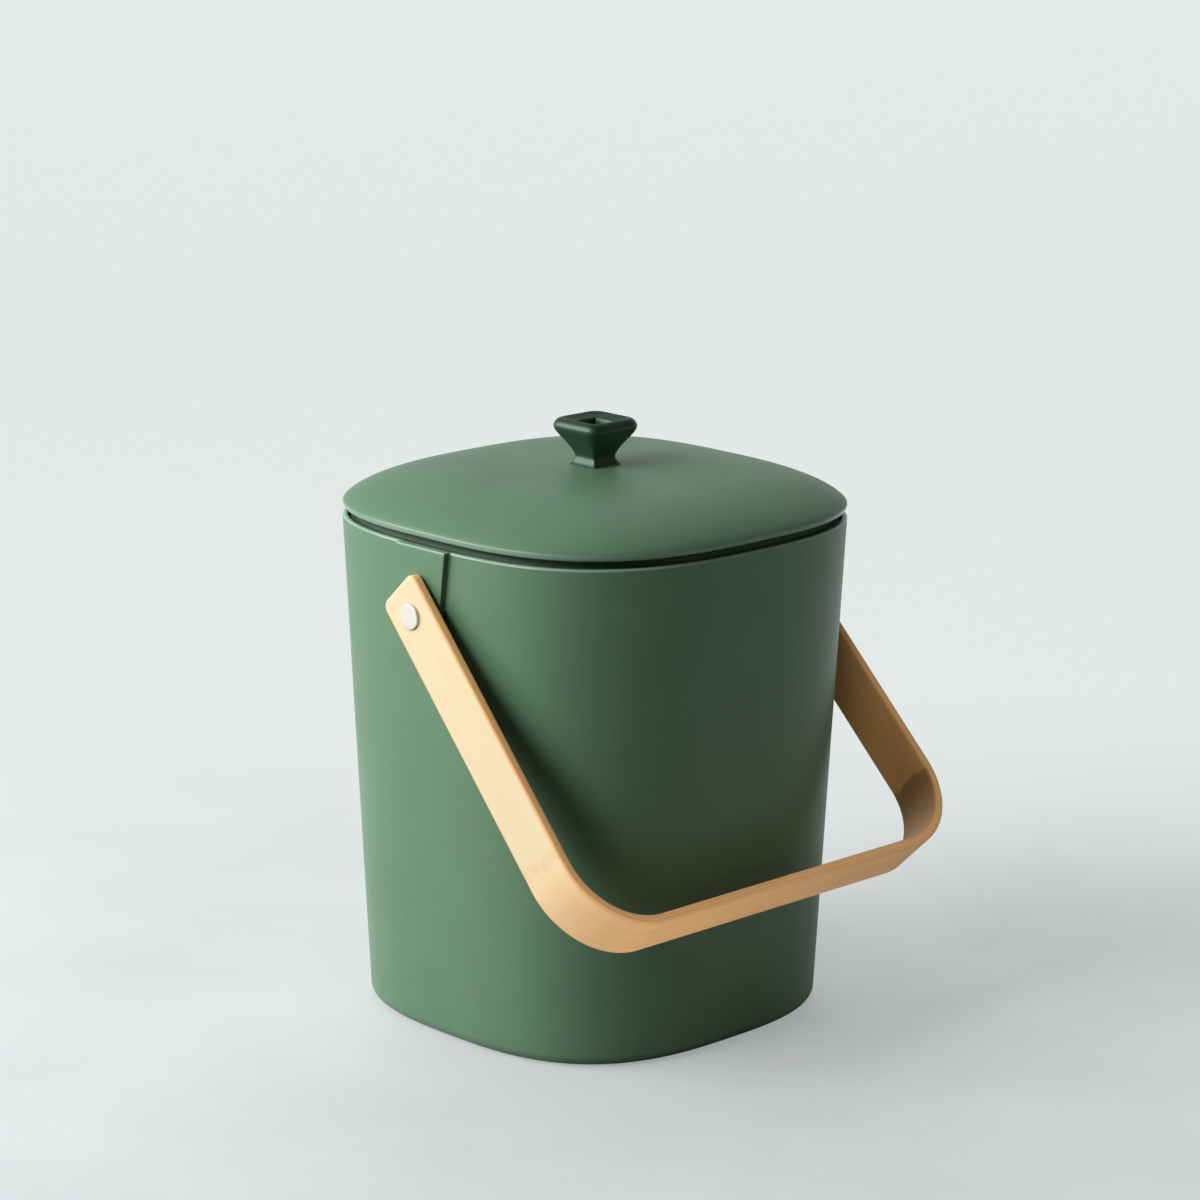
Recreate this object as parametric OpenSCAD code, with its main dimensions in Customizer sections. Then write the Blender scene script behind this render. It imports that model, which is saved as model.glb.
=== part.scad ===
// Countertop compost caddy: a soft-square moulded bin with a bent-wood bail handle and a
// vented lift-off lid that holds a charcoal filter.
// Millimetres. Z is up, X is the axis that the handle swings on, and -Y is the front.
// The origin is the centre of the foot, on the surface that the caddy stands on.

/* [Bin] */
// Outside width across the rim
rim_w = 188; // [180:1:196]
// Outside width across the foot, before its rounded edge
foot_w = 169; // [160:1:176]
// Height of the rim
bin_h = 209; // [190:1:230]
// How square the plan is: 2 is a circle, higher is squarer
squareness = 2.85; // [2.6:0.05:3.4]
// Wall thickness below the ledge
wall_t = 3.6; // [3.2:0.1:4.4]
// Thickness of the thin rim above the ledge
rim_t = 2; // [1.6:0.1:2.2]
// Depth of the lid ledge below the rim
ledge_drop = 8; // [7:0.5:10]
// Floor thickness
floor_t = 3.4; // [2.6:0.1:5]
// Radius of the rounded foot
foot_r = 5; // [3:0.5:7]
// Radius between the floor and the inside wall
inner_r = 7; // [4:0.5:10]
// Width of the ring that the bin stands on
foot_land = 7; // [5:0.5:12]
// Depth of the recess under the floor
foot_recess = 1.2; // [0.6:0.1:1.8]

/* [Pivot pads] */
// Height of the rim above the pivot axis
pivot_drop = 27.4; // [26:0.2:32]
// How far a pad stands out from the wall
pad_t = 2.8; // [2.2:0.1:3.4]
// Width of a pad at the rim
pad_w = 29; // [26:1:36]
// Radius of a pad's lower end
pad_r = 9.6; // [8:0.2:11]
// Radius of the flat seat round a pivot hole
seat_r = 6.4; // [6.2:0.1:7]
// Height of that seat above the pad at the axis
seat_t = 0.4; // [0.4:0.1:0.8]
// Height of the flat boss inside the bin that takes the fastener
boss_t = 0.8; // [0.6:0.1:1.4]

/* [Pivot fasteners] */
// Radius of a pivot post's barrel
post_r = 2.5; // [2.2:0.1:3]
// Radius of its flat head
post_head_r = 5.15; // [4.8:0.05:5.6]
// Thickness of its head
post_head_t = 0.95; // [0.8:0.05:1.4]
// Rounding of the head's edge
post_edge_r = 0.3; // [0.1:0.05:0.4]
// Radius of the screw that closes the post
screw_r = 1.5; // [1.2:0.1:1.7]
// Radius of that screw's head
screw_head_r = 4.2; // [3.6:0.1:4.8]
// Height of that screw's head
screw_head_t = 1.8; // [1.4:0.1:2.4]
// Thickness of the spacer between the pad and the strap
spacer_t = 0.6; // [0.5:0.05:1]
// Outside radius of the spacer
spacer_r = 5.5; // [4.8:0.1:5.8]
// Thickness of the washer inside the bin
washer_t = 0.8; // [0.6:0.1:1.2]
// Outside radius of that washer
washer_r = 6; // [5.4:0.1:6.1]

/* [Handle] */
// Room between the knob and the grip when the handle stands upright
hand_room = 86.2; // [78:0.2:96]
// How far each arm leans out between the pivot and the grip
arm_flare = 6; // [1:0.2:10]
// Strap width
strap_w = 24.2; // [20:0.2:26]
// Strap thickness
strap_t = 4.2; // [3.4:0.1:5]
// Radius inside the two bends
bend_r = 29.6; // [20:0.2:36]
// How far the strap runs past the pivot axis
strap_past = 13.4; // [12:0.2:15]
// Radius of the corners at the strap's ends
strap_end_r = 4; // [2:0.2:6]
// Gap between the grip and the front of the bin as the caddy stands
rest_gap = 9.9; // [6:0.1:16]

/* [Lid] */
// How far the widest line of the lid lies inside the rim
lid_inset = 0.1; // [0:0.1:1]
// Gap between the rim and the lid's edge
lid_gap = 3.1; // [2.4:0.1:4]
// Height of the lid's edge, up to its widest line
lip_h = 2.2; // [1.6:0.1:3]
// Rise of the dome above that line
dome_rise = 14.9; // [11:0.1:20]
// How flat the middle of the dome is
dome_flat = 3.9; // [3:0.1:4.5]
// How round the dome's shoulder is
dome_shoulder = 1.3; // [1.2:0.05:1.6]
// Thickness of the dome
lid_t = 2.8; // [2.2:0.1:3.4]
// Thickness of the skirt that stands inside the rim
skirt_t = 2.4; // [2:0.1:3]
// Length of each vent slot
slot_len = 86; // [60:1:100]
// Height of each vent slot
slot_h = 1.5; // [1:0.1:1.8]
// Width of the shoulder inside the skirt that stops the filter cover
stop_t = 1.2; // [0.8:0.1:1.6]

/* [Knob] */
// Width of the knob's rolled rim
knob_w = 27.6; // [25:0.2:31]
// Height of the knob
knob_h = 19.4; // [17:0.2:24]
// Width of its neck
neck_w = 12.4; // [11.4:0.2:14]
// Width of its flared foot
knob_foot_w = 15.4; // [14.6:0.2:18]
// Width of the square hollow
hollow_w = 10.8; // [8.6:0.2:11.6]
// Depth of the square hollow
hollow_d = 9; // [6:0.2:9.4]
// Radius of the knob screw
knob_screw_r = 2; // [1.6:0.1:2.2]
// Radius of its head
knob_screw_head_r = 4; // [3.4:0.1:4.6]
// Height of its head
knob_screw_head_t = 2.4; // [1.8:0.1:3]
// Outside radius of the threaded insert
insert_r = 3; // [2.8:0.1:3.4]
// Length of the threaded insert
insert_len = 6.5; // [5:0.1:7]
// Outside radius of the knob washer
knob_washer_r = 6; // [5.2:0.1:7]
// Thickness of the knob washer
knob_washer_t = 1; // [0.8:0.1:1.4]

/* [Filter] */
// Thickness of the perforated filter cover
cover_t = 2; // [1.6:0.1:2.6]
// Height of the wall round the cover's edge, above the plate
cover_wall_h = 4; // [3.4:0.1:4.6]
// Thickness of that wall
cover_wall_t = 1.8; // [1.4:0.1:2.4]
// Gap between the skirt's lower edge and the cover
cover_inset = 1.5; // [0.5:0.1:2]
// Radius of the holes in the cover
hole_r = 2; // [1.4:0.1:2.6]
// Distance between those holes
hole_pitch = 11; // [9:0.5:14]
// Thickness of the charcoal filter
filter_t = 3.6; // [3:0.1:4.4]
// Length of the rib that the cover is pulled out by
pull_len = 34; // [24:1:44]
// Height of that rib
pull_h = 6; // [4:0.5:8]
// Thickness of that rib
pull_t = 3; // [2.4:0.1:4]

/* [Hidden] */
$fn = 64;

SIDES = 96; // points round the plan
CORNER_STEPS = 6; // points round each corner of the knob
ARC_STEPS = 6; // steps in a rounded profile
BEND_STEPS = 16; // flats in each bend of the strap
DOME_STEPS = 12; // rings in the dome
EPS = 0.5; // overrun of a cut past the face that it opens

// Running fits and gaps
post_fit = 0.08; // strap on barrel, radius
fixed_fit = 0.05; // fastener in its hole, radius
skirt_fit = 0.6; // skirt inside the rim
cover_fit = 0.35; // filter cover inside the skirt
filter_fit = 0.4; // filter inside the cover's wall
strap_play = 0.5; // strap to spacer at the axis
head_play = 0.4; // strap to post head at the axis

// Bin
rim_half = rim_w / 2;
foot_half = foot_w / 2;
draft_angle = atan((rim_half - foot_half) / bin_h);
floor_z = foot_recess + floor_t;
ledge_z = bin_h - ledge_drop;
skirt_out = wall_at(ledge_z) - rim_t - skirt_fit;
skirt_in = skirt_out - skirt_t;
function wall_at(z) = foot_half + (rim_half - foot_half) * z / bin_h;

// Pivot, measured along X from the middle plane
pivot_z = bin_h - pivot_drop;
pad_x = wall_at(pivot_z) + pad_t;
seat_x = pad_x + seat_t;
inner_seat_x = wall_at(pivot_z) - wall_t - boss_t;
spacer_x = seat_x + spacer_t;
strap_in_x = spacer_x + strap_play;
strap_out_x = strap_in_x + strap_t;
head_x = strap_out_x + head_play;
barrel_end_x = inner_seat_x + fixed_fit;

// Lid
lid_half = rim_half - lid_inset;
lid_edge_z = bin_h + lid_gap;
lid_wide_z = lid_edge_z + lip_h;
lid_top_z = lid_wide_z + dome_rise;
dome_start = 0.12; // share of the half width that stays flat under the knob
lip_in = 0.9; // how far the lid's lower edge draws in
lid_under_z = lid_top_z - lid_t;
stop_half = skirt_in - stop_t;
function dome_z(s) = lid_wide_z + dome_rise * pow(max(1 - pow(s, dome_flat), 0), 1 / dome_shoulder);

// Handle, as drawn with its arms hanging straight down
grip_in = lid_top_z + knob_h + hand_room - pivot_z;
grip_mid = grip_in + strap_t / 2;
mid_r = bend_r + strap_t / 2;
pivot_half = strap_in_x + strap_t / 2;
splay = atan(arm_flare / grip_mid);
bend_x = pivot_half + arm_flare - mid_r * tan(45 + splay / 2);
bend_z = -grip_mid + mid_r;
corner_r = norm([grip_in, strap_w / 2]); // pivot axis to the grip's edge that meets the bin
corner_angle = atan(strap_w / 2 / grip_in);
rest_tilt = asin((wall_at(pivot_z) + rest_gap) * cos(draft_angle) / corner_r)
    - draft_angle + corner_angle;

// Filter cover
cover_z = ledge_z + cover_inset;
cover_half = skirt_in - cover_fit;
cover_top_z = cover_z + cover_t;
cover_wall_top_z = cover_top_z + cover_wall_h;
filter_half = cover_half - cover_wall_t - filter_fit;

// Knob fastening
knob_z = lid_top_z;
insert_z = knob_z + fixed_fit;
tip_short = 0.5; // how far each screw stops short of the end of its thread
knob_screw_len = lid_t + insert_len - tip_short;

function sgn_pow(v, e) = sign(v) * pow(abs(v), e);

// Plan of the bin and lid: a superellipse of half width a
function plan(a) = [
    for (i = [0 : SIDES - 1])
        let (t = 360 * i / SIDES)
            [a * sgn_pow(cos(t), 2 / squareness), a * sgn_pow(sin(t), 2 / squareness)]
];

// Plan of the knob: a square of half width a with corners of radius r
function soft_square(a, r) = [
    for (q = [0 : 3])
        for (i = [0 : CORNER_STEPS])
            let (t = 90 * (q + i / CORNER_STEPS))
                [
                    (a - r) * (q == 0 || q == 3 ? 1 : -1) + r * cos(t),
                    (a - r) * (q < 2 ? 1 : -1) + r * sin(t)
                ]
];

function lift(points, z) = [for (p = points) [p[0], p[1], z]];

// A closed solid through a stack of rings, from a cap that faces down to one that faces up
module loft(rings) {
    n = len(rings[0]);
    last = len(rings) - 1;
    points = [for (ring = rings) for (p = ring) p];
    sides = [
        for (i = [0 : last - 1])
            for (j = [0 : n - 1])
                let (k = (j + 1) % n)
                    [i * n + j, (i + 1) * n + j, (i + 1) * n + k, i * n + k]
    ];
    start = [[for (j = [0 : n - 1]) j]];
    end = [[for (j = [n - 1 : -1 : 0]) last * n + j]];
    polyhedron(points = points, faces = concat(start, sides, end), convexity = 8);
}

module plan_loft(profile) {
    loft([for (s = profile) lift(plan(s[0]), s[1])]);
}

module plan_plate(half, z, h) {
    translate([0, 0, z]) linear_extrude(height = h) polygon(plan(half));
}

// A cylinder along X from x1 to x2, on the pivot axis
module on_axis(x1, x2, r) {
    translate([min(x1, x2), 0, pivot_z]) rotate([0, 90, 0]) cylinder(r = r, h = abs(x2 - x1));
}

module ring_on_axis(x1, x2, r_out, r_in) {
    difference() {
        on_axis(x1, x2, r_out);
        on_axis(x1 - EPS, x2 + EPS, r_in);
    }
}

module mirrored_x() {
    children();
    mirror([1, 0, 0]) children();
}

// ---------- bin ----------

module bin_shell() {
    foot_arc = [
        for (i = [1 : ARC_STEPS])
            let (t = 90 * i / ARC_STEPS, z = foot_r * (1 - cos(t)))
                [wall_at(z) - foot_r * (1 - sin(t)), z]
    ];
    round_r = rim_t / 2;
    rim_arc = [
        for (i = [0 : ARC_STEPS])
            let (t = 180 * i / ARC_STEPS)
                [rim_half - round_r + round_r * cos(t), bin_h - round_r + round_r * sin(t)]
    ];
    ledge = [
        [wall_at(ledge_z) - rim_t, ledge_z],
        [wall_at(ledge_z) - wall_t, ledge_z]
    ];
    floor_arc = [
        for (i = [0 : ARC_STEPS])
            let (t = 90 * i / ARC_STEPS, z = floor_z + inner_r * (1 - sin(t)))
                [wall_at(z) - wall_t - inner_r * (1 - cos(t)), z]
    ];
    start = [[wall_at(0) - foot_r, -EPS]];
    plan_loft(concat(start, foot_arc, rim_arc, ledge, floor_arc));
}

// A raised tongue that hangs from the rim and ends in a half round below the pivot
module pivot_pad() {
    root = rim_t * 0.8;
    translate([wall_at(pivot_z), 0, pivot_z])
        rotate([0, draft_angle, 0])
            translate([-root, 0, 0])
                rotate([90, 0, 90])
                    linear_extrude(height = root + pad_t)
                        union() {
                            circle(r = pad_r);
                            polygon([
                                [-pad_r, 0],
                                [pad_r, 0],
                                [pad_w / 2, pivot_drop],
                                [pad_w / 2, pivot_drop + EPS],
                                [-pad_w / 2, pivot_drop + EPS],
                                [-pad_w / 2, pivot_drop]
                            ]);
                        }
}

module bin_body() {
    color("darkgreen")
        difference() {
            union() {
                bin_shell();
                mirrored_x() pivot_pad();
                mirrored_x() on_axis(pad_x - pad_t, seat_x, seat_r);
                mirrored_x() on_axis(inner_seat_x, pad_x - pad_t, washer_r + 1);
            }
            mirrored_x() on_axis(inner_seat_x - EPS, seat_x + EPS, post_r + fixed_fit);
            translate([-rim_w, -rim_w, -2 * EPS]) cube([2 * rim_w, 2 * rim_w, 2 * EPS]);
            plan_plate(foot_half - foot_r - foot_land, -EPS, foot_recess + EPS);
            translate([-rim_w, -rim_w, bin_h]) cube([2 * rim_w, 2 * rim_w, pivot_drop]);
        }
}

// ---------- pivot hardware ----------

// The right-hand post: a flat head with a softened edge and a barrel tapped from inside
module pivot_post() {
    edge = post_edge_r;
    color("gainsboro")
        difference() {
            translate([0, 0, pivot_z])
                rotate([0, 90, 0])
                    rotate_extrude()
                        polygon([
                            [0, barrel_end_x],
                            [post_r, barrel_end_x],
                            [post_r, head_x],
                            [post_head_r, head_x],
                            [post_head_r, head_x + post_head_t - edge],
                            [post_head_r - edge, head_x + post_head_t],
                            [0, head_x + post_head_t]
                        ]);
            on_axis(barrel_end_x - EPS, spacer_x, screw_r + fixed_fit);
        }
}

module spacer() {
    color("ivory") ring_on_axis(seat_x, spacer_x, spacer_r, post_r + fixed_fit);
}

module inner_washer() {
    color("silver") ring_on_axis(inner_seat_x - washer_t, inner_seat_x, washer_r, screw_r + fixed_fit);
}

module post_screw() {
    head_in = inner_seat_x - washer_t - screw_head_t;
    slot_w = 1;
    slot_d = screw_head_t / 2;
    color("silver")
        difference() {
            union() {
                on_axis(head_in, inner_seat_x - washer_t, screw_head_r);
                on_axis(inner_seat_x - washer_t - EPS, spacer_x - tip_short, screw_r);
            }
            translate([head_in - EPS, -slot_w / 2, pivot_z - screw_head_r - EPS])
                cube([slot_d + EPS, slot_w, 2 * (screw_head_r + EPS)]);
        }
}

module left_pivot_post() mirror([1, 0, 0]) pivot_post();
module right_pivot_post() pivot_post();
module left_spacer() mirror([1, 0, 0]) spacer();
module right_spacer() spacer();
module left_inner_washer() mirror([1, 0, 0]) inner_washer();
module right_inner_washer() inner_washer();
module left_post_screw() mirror([1, 0, 0]) post_screw();
module right_post_screw() post_screw();

// ---------- handle ----------

// One side of the strap from its top end to the grip, at a distance off from its middle line
function strap_side(off) = concat(
    [[
        pivot_half - strap_past * tan(splay) + off * cos(splay),
        strap_past + off * sin(splay)
    ]],
    [
        for (i = [0 : BEND_STEPS])
            let (t = splay - (90 + splay) * i / BEND_STEPS)
                [bend_x + (mid_r + off) * cos(t), bend_z + (mid_r + off) * sin(t)]
    ]
);

function reversed(list) = [for (i = [len(list) - 1 : -1 : 0]) list[i]];

function mirrored(points) = [for (p = points) [-p[0], p[1]]];

// The bent strap seen along its width, as one outline
function strap_outline() = concat(
    strap_side(strap_t / 2),
    reversed(mirrored(strap_side(strap_t / 2))),
    mirrored(strap_side(-strap_t / 2)),
    reversed(strap_side(-strap_t / 2))
);

// The strap seen from the side: a band of its width with softened corners at the top
module strap_band() {
    r = strap_end_r;
    half = strap_w / 2;
    top = strap_past;
    translate([-half, -2 * grip_mid]) square([strap_w, 2 * grip_mid + top - r]);
    translate([-half + r, top - 2 * r]) square([strap_w - 2 * r, 2 * r]);
    for (side = [-1, 1])
        translate([side * (half - r), top - r]) circle(r = r);
}

module handle_strap() {
    span = 2 * (pivot_half + arm_flare + strap_t);
    color("burlywood")
        translate([0, 0, pivot_z])
            rotate([-rest_tilt, 0, 0])
                difference() {
                    intersection() {
                        rotate([90, 0, 0])
                            linear_extrude(height = strap_w + 2 * EPS, center = true)
                                polygon(strap_outline());
                        rotate([90, 0, 90])
                            linear_extrude(height = span, center = true) strap_band();
                    }
                    rotate([0, 90, 0]) cylinder(r = post_r + post_fit, h = span, center = true);
                }
}

// ---------- lid ----------

module lid_body() {
    inner_dome = [
        for (i = [0 : DOME_STEPS - 2])
            let (s = dome_start + (stop_half / lid_half - dome_start) * i / (DOME_STEPS - 2))
                [s * lid_half, i == 0 ? lid_under_z : dome_z(s) - lid_t]
    ];
    skirt = [
        [stop_half, cover_wall_top_z],
        [skirt_in, cover_wall_top_z],
        [skirt_in, ledge_z],
        [skirt_out, ledge_z],
        [skirt_out, lid_edge_z],
        [lid_half - lip_in, lid_edge_z]
    ];
    lip = [[lid_half - lip_in / 3, lid_edge_z + lip_h / 4]];
    flat_turn = asin(dome_start);
    dome = [
        for (i = [0 : DOME_STEPS - 1])
            let (s = sin(90 - (90 - flat_turn) * i / DOME_STEPS))
                [s * lid_half, dome_z(s)]
    ];
    top = [[dome_start * lid_half, lid_top_z]];
    plan_loft(concat(inner_dome, skirt, lip, dome, top));
}

// One slot in the middle of each side, against the underside of the lid's edge
module vent_slots() {
    inside = stop_half * 0.8;
    for (turn = [0 : 90 : 270])
        rotate([0, 0, turn])
            translate([inside, -slot_len / 2, lid_edge_z - slot_h])
                cube([skirt_out - inside + EPS, slot_len, slot_h]);
}

module lid_shell() {
    color("darkgreen")
        difference() {
            lid_body();
            vent_slots();
            translate([0, 0, lid_under_z - EPS])
                cylinder(r = knob_screw_r + fixed_fit, h = lid_t + 2 * EPS);
        }
}

// Knob stations: [share of height, half width, corner radius]
module knob_body() {
    foot = knob_foot_w / 2;
    neck = neck_w / 2;
    rim = knob_w / 2;
    dish = hollow_w / 2;
    stations = [
        [0, foot, 0.4],
        [0.02, foot, 0.4],
        [0.07, neck + (foot - neck) * 0.35, 0.7],
        [0.17, neck, 1],
        [0.29, neck + (rim - neck) * 0.1, 1.4],
        [0.43, neck + (rim - neck) * 0.32, 2.2],
        [0.61, neck + (rim - neck) * 0.68, 3.6],
        [0.74, neck + (rim - neck) * 0.91, 4.6],
        [0.84, rim, 5.2],
        [0.93, rim - 0.6, 5],
        [0.985, rim - 1.7, 4.4],
        [1, rim - 2.8, 4],
        [0.985, rim - 3.9, 3.4],
        [0.94, dish + 1.2, 1.4],
        [0.92, dish, 0.6],
        [1 - hollow_d / knob_h, dish * 0.72, 0.6]
    ];
    loft([for (s = stations) lift(soft_square(s[1], s[2]), knob_z + s[0] * knob_h)]);
}

module lid_knob() {
    color("darkgreen")
        difference() {
            knob_body();
            translate([0, 0, knob_z - EPS])
                cylinder(r = insert_r + fixed_fit, h = EPS + insert_len + 2 * fixed_fit);
        }
}

module knob_insert() {
    color("goldenrod")
        translate([0, 0, insert_z])
            difference() {
                cylinder(r = insert_r, h = insert_len);
                translate([0, 0, -EPS]) cylinder(r = knob_screw_r + fixed_fit, h = insert_len + 2 * EPS);
            }
}

module knob_screw() {
    head_z = lid_under_z - knob_washer_t - knob_screw_head_t;
    slot_w = 1.2;
    slot_d = knob_screw_head_t / 2;
    color("silver")
        difference() {
            union() {
                translate([0, 0, head_z]) cylinder(r = knob_screw_head_r, h = knob_screw_head_t);
                translate([0, 0, head_z + knob_screw_head_t - EPS])
                    cylinder(r = knob_screw_r, h = EPS + knob_washer_t + knob_screw_len);
            }
            translate([-knob_screw_head_r - EPS, -slot_w / 2, head_z - EPS])
                cube([2 * (knob_screw_head_r + EPS), slot_w, slot_d + EPS]);
        }
}

module knob_washer() {
    color("silver")
        translate([0, 0, lid_under_z - knob_washer_t])
            difference() {
                cylinder(r = knob_washer_r, h = knob_washer_t);
                translate([0, 0, -EPS])
                    cylinder(r = knob_screw_r + fixed_fit, h = knob_washer_t + 2 * EPS);
            }
}

// ---------- filter ----------

module filter_cover() {
    reach = floor((filter_half - hole_pitch) / hole_pitch) * hole_pitch;
    steps = [-reach : hole_pitch : reach];
    color("darkgreen")
        union() {
            translate([0, 0, cover_z])
                linear_extrude(height = cover_t)
                    difference() {
                        polygon(plan(cover_half));
                        for (x = steps)
                            for (y = steps)
                                if (inside_plan(x, y, filter_half - hole_pitch / 2) && abs(y) > pull_t)
                                    translate([x, y]) circle(r = hole_r);
                    }
            translate([0, 0, cover_top_z - EPS])
                linear_extrude(height = cover_wall_h + EPS)
                    difference() {
                        polygon(plan(cover_half));
                        polygon(plan(cover_half - cover_wall_t));
                    }
            translate([-pull_len / 2, -pull_t / 2, cover_z - pull_h])
                cube([pull_len, pull_t, pull_h + EPS]);
        }
}

function inside_plan(x, y, a) = pow(abs(x) / a, squareness) + pow(abs(y) / a, squareness) < 1;

module charcoal_filter() {
    color("dimgray") plan_plate(filter_half, cover_top_z, filter_t);
}

bin_body();
left_pivot_post();
right_pivot_post();
left_spacer();
right_spacer();
left_inner_washer();
right_inner_washer();
left_post_screw();
right_post_screw();
handle_strap();
lid_shell();
lid_knob();
knob_insert();
knob_screw();
knob_washer();
filter_cover();
charcoal_filter();
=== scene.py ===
import math

import bmesh
import bpy
import numpy as np
from mathutils import Matrix, Quaternion, Vector


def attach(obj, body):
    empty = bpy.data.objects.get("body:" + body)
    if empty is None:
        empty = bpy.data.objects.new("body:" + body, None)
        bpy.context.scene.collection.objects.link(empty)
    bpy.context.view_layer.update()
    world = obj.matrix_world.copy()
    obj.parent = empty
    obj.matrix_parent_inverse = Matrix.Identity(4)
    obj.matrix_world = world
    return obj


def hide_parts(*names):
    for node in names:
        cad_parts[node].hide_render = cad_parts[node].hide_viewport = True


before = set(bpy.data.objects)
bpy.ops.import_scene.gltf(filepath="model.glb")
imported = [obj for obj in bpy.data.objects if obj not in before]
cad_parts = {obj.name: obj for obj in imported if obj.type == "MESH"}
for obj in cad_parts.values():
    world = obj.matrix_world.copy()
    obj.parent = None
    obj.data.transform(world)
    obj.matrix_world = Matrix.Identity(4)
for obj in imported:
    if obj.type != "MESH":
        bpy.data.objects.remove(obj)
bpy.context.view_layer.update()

# Sizes in millimetres, as in the CAD source but for the group that is drawn apart from it.
# Meshes are made in millimetres and scaled to metres.
MM = 0.001
PLAN_POINTS = 288
SQUARENESS = 2.85

BIN_H = 209.0
RIM_HALF = 94.0
FOOT_HALF = 84.5
WALL_T = 3.6
RIM_T = 2.0
LEDGE_Z = BIN_H - 8.0
FOOT_R = 5.0
INNER_R = 7.0
FOOT_LAND = 7.0
FOOT_RECESS = 1.2
FLOOR_Z = FOOT_RECESS + 3.4

PIVOT_Z = BIN_H - 27.4
PAD_W = 29.0
PAD_R = 9.6
SEAT_R = 6.4
BOSS_T = 0.8
BOSS_R = 7.0
POST_R = 2.5
HEAD_R = 5.15
HEAD_T = 0.95
SPACER_T = 0.6
POST_FIT = 0.08
FIXED_FIT = 0.05
STRAP_PLAY = 0.5
HEAD_PLAY = 0.4

LID_HALF = RIM_HALF - 0.1
LID_EDGE_Z = BIN_H + 3.1
LID_WIDE_Z = LID_EDGE_Z + 2.2
DOME_RISE = 14.9
DOME_FLAT = 3.9
DOME_SHOULDER = 1.3
LID_T = 2.8
LIP_IN = 0.9
SKIRT_FIT = 0.6
SKIRT_T = 2.4
STOP_T = 1.2
SLOT_LEN = 86.0
SLOT_H = 1.5

KNOB_Z = LID_WIDE_Z + DOME_RISE
KNOB_H = 19.4
KNOB_HALF = 13.8
NECK_HALF = 6.2
KNOB_FOOT_HALF = 7.7
HOLLOW_HALF = 5.4
HOLLOW_D = 9.0

STRAP_W = 24.2
STRAP_T = 4.2
STRAP_PAST = 13.4
STRAP_END_R = 4.0
STRAP_EDGE_R = 1.0
ARM_FLARE = 6.0
BEND_R = 29.6
REST_GAP = 9.9
GRIP_IN = KNOB_Z + KNOB_H + 86.2 - PIVOT_Z

COVER_T = 2.0
COVER_WALL_H = 4.0
COVER_WALL_T = 1.8
COVER_FIT = 0.35
FILTER_T = 3.6
FILTER_FIT = 0.4
FILTER_Z = LEDGE_Z + 1.5 + COVER_T

# Drawn apart from the CAD: edge radii, a thinner pad with a higher seat, a groove behind the lid's lip,
# a stop just clear of the filter cover, and a hair more room round the knob screw.
RIM_OUT_R = 1.0
RIM_IN_R = 0.5
PAD_T = 2.3
SEAT_T = 0.9
GROOVE_HALF = 89.1
GROOVE_Z = BIN_H - 0.8
STOP_Z = FILTER_Z + COVER_WALL_H + 0.03
SCREW_HOLE_R = 2.1


def wall_at(z):
    """Half the bin's outside width at a height."""
    return FOOT_HALF + (RIM_HALF - FOOT_HALF) * z / BIN_H


DRAFT = math.atan((RIM_HALF - FOOT_HALF) / BIN_H)

# Half widths of the lid's skirt and of the filter.
SKIRT_OUT = wall_at(LEDGE_Z) - RIM_T - SKIRT_FIT
SKIRT_IN = SKIRT_OUT - SKIRT_T
STOP_HALF = SKIRT_IN - STOP_T
FILTER_HALF = SKIRT_IN - COVER_FIT - COVER_WALL_T - FILTER_FIT

# Places along the pivot axis, from the middle plane.
BARREL_END_X = wall_at(PIVOT_Z) - WALL_T - BOSS_T + FIXED_FIT
STRAP_IN_X = wall_at(PIVOT_Z) + PAD_T + SEAT_T + SPACER_T + STRAP_PLAY
PIVOT_HALF = STRAP_IN_X + STRAP_T / 2
HEAD_X = STRAP_IN_X + STRAP_T + HEAD_PLAY


def rest_tilt():
    """The angle of the arms from straight down when the grip's edge rests the gap away from the bin."""
    corner_r = math.hypot(GRIP_IN, STRAP_W / 2)
    reach = (wall_at(PIVOT_Z) + REST_GAP) * math.cos(DRAFT) / corner_r
    return math.asin(reach) - DRAFT + math.atan(STRAP_W / 2 / GRIP_IN)


# ---------- mesh helpers ----------

def plan_curve(count, power):
    """A superellipse of half width 1 with its points evenly spaced along it, from +X anticlockwise."""
    t = np.linspace(0, 2 * np.pi, 20001)
    x = np.sign(np.cos(t)) * abs(np.cos(t)) ** (2 / power)
    y = np.sign(np.sin(t)) * abs(np.sin(t)) ** (2 / power)
    along = np.concatenate([[0], np.cumsum(np.hypot(np.diff(x), np.diff(y)))])
    even = np.linspace(0, along[-1], count, endpoint=False)
    return np.stack([np.interp(even, along, x), np.interp(even, along, y)], 1)


PLAN = plan_curve(PLAN_POINTS, SQUARENESS)
ROUND = PLAN / np.linalg.norm(PLAN, axis=1)[:, None]


def plan_ring(half, z, roundness=0.0):
    """A ring of the plan at a half width; roundness 1 makes it a circle."""
    flat = half * (PLAN * (1 - roundness) + ROUND * roundness)
    return np.column_stack([flat, np.full(len(flat), z)])


def arc(cx, cz, r, start, end, steps):
    """Points of an arc in a profile, angles in degrees from +X towards +Z."""
    turn = np.radians(np.linspace(start, end, steps + 1))
    return [(cx + r * math.cos(t), cz + r * math.sin(t)) for t in turn]


def line(start, end, steps):
    """Points between two profile points, without the ends."""
    share = np.linspace(0, 1, steps + 1)[1:-1]
    return [(start[0] + (end[0] - start[0]) * s, start[1] + (end[1] - start[1]) * s) for s in share]


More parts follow.
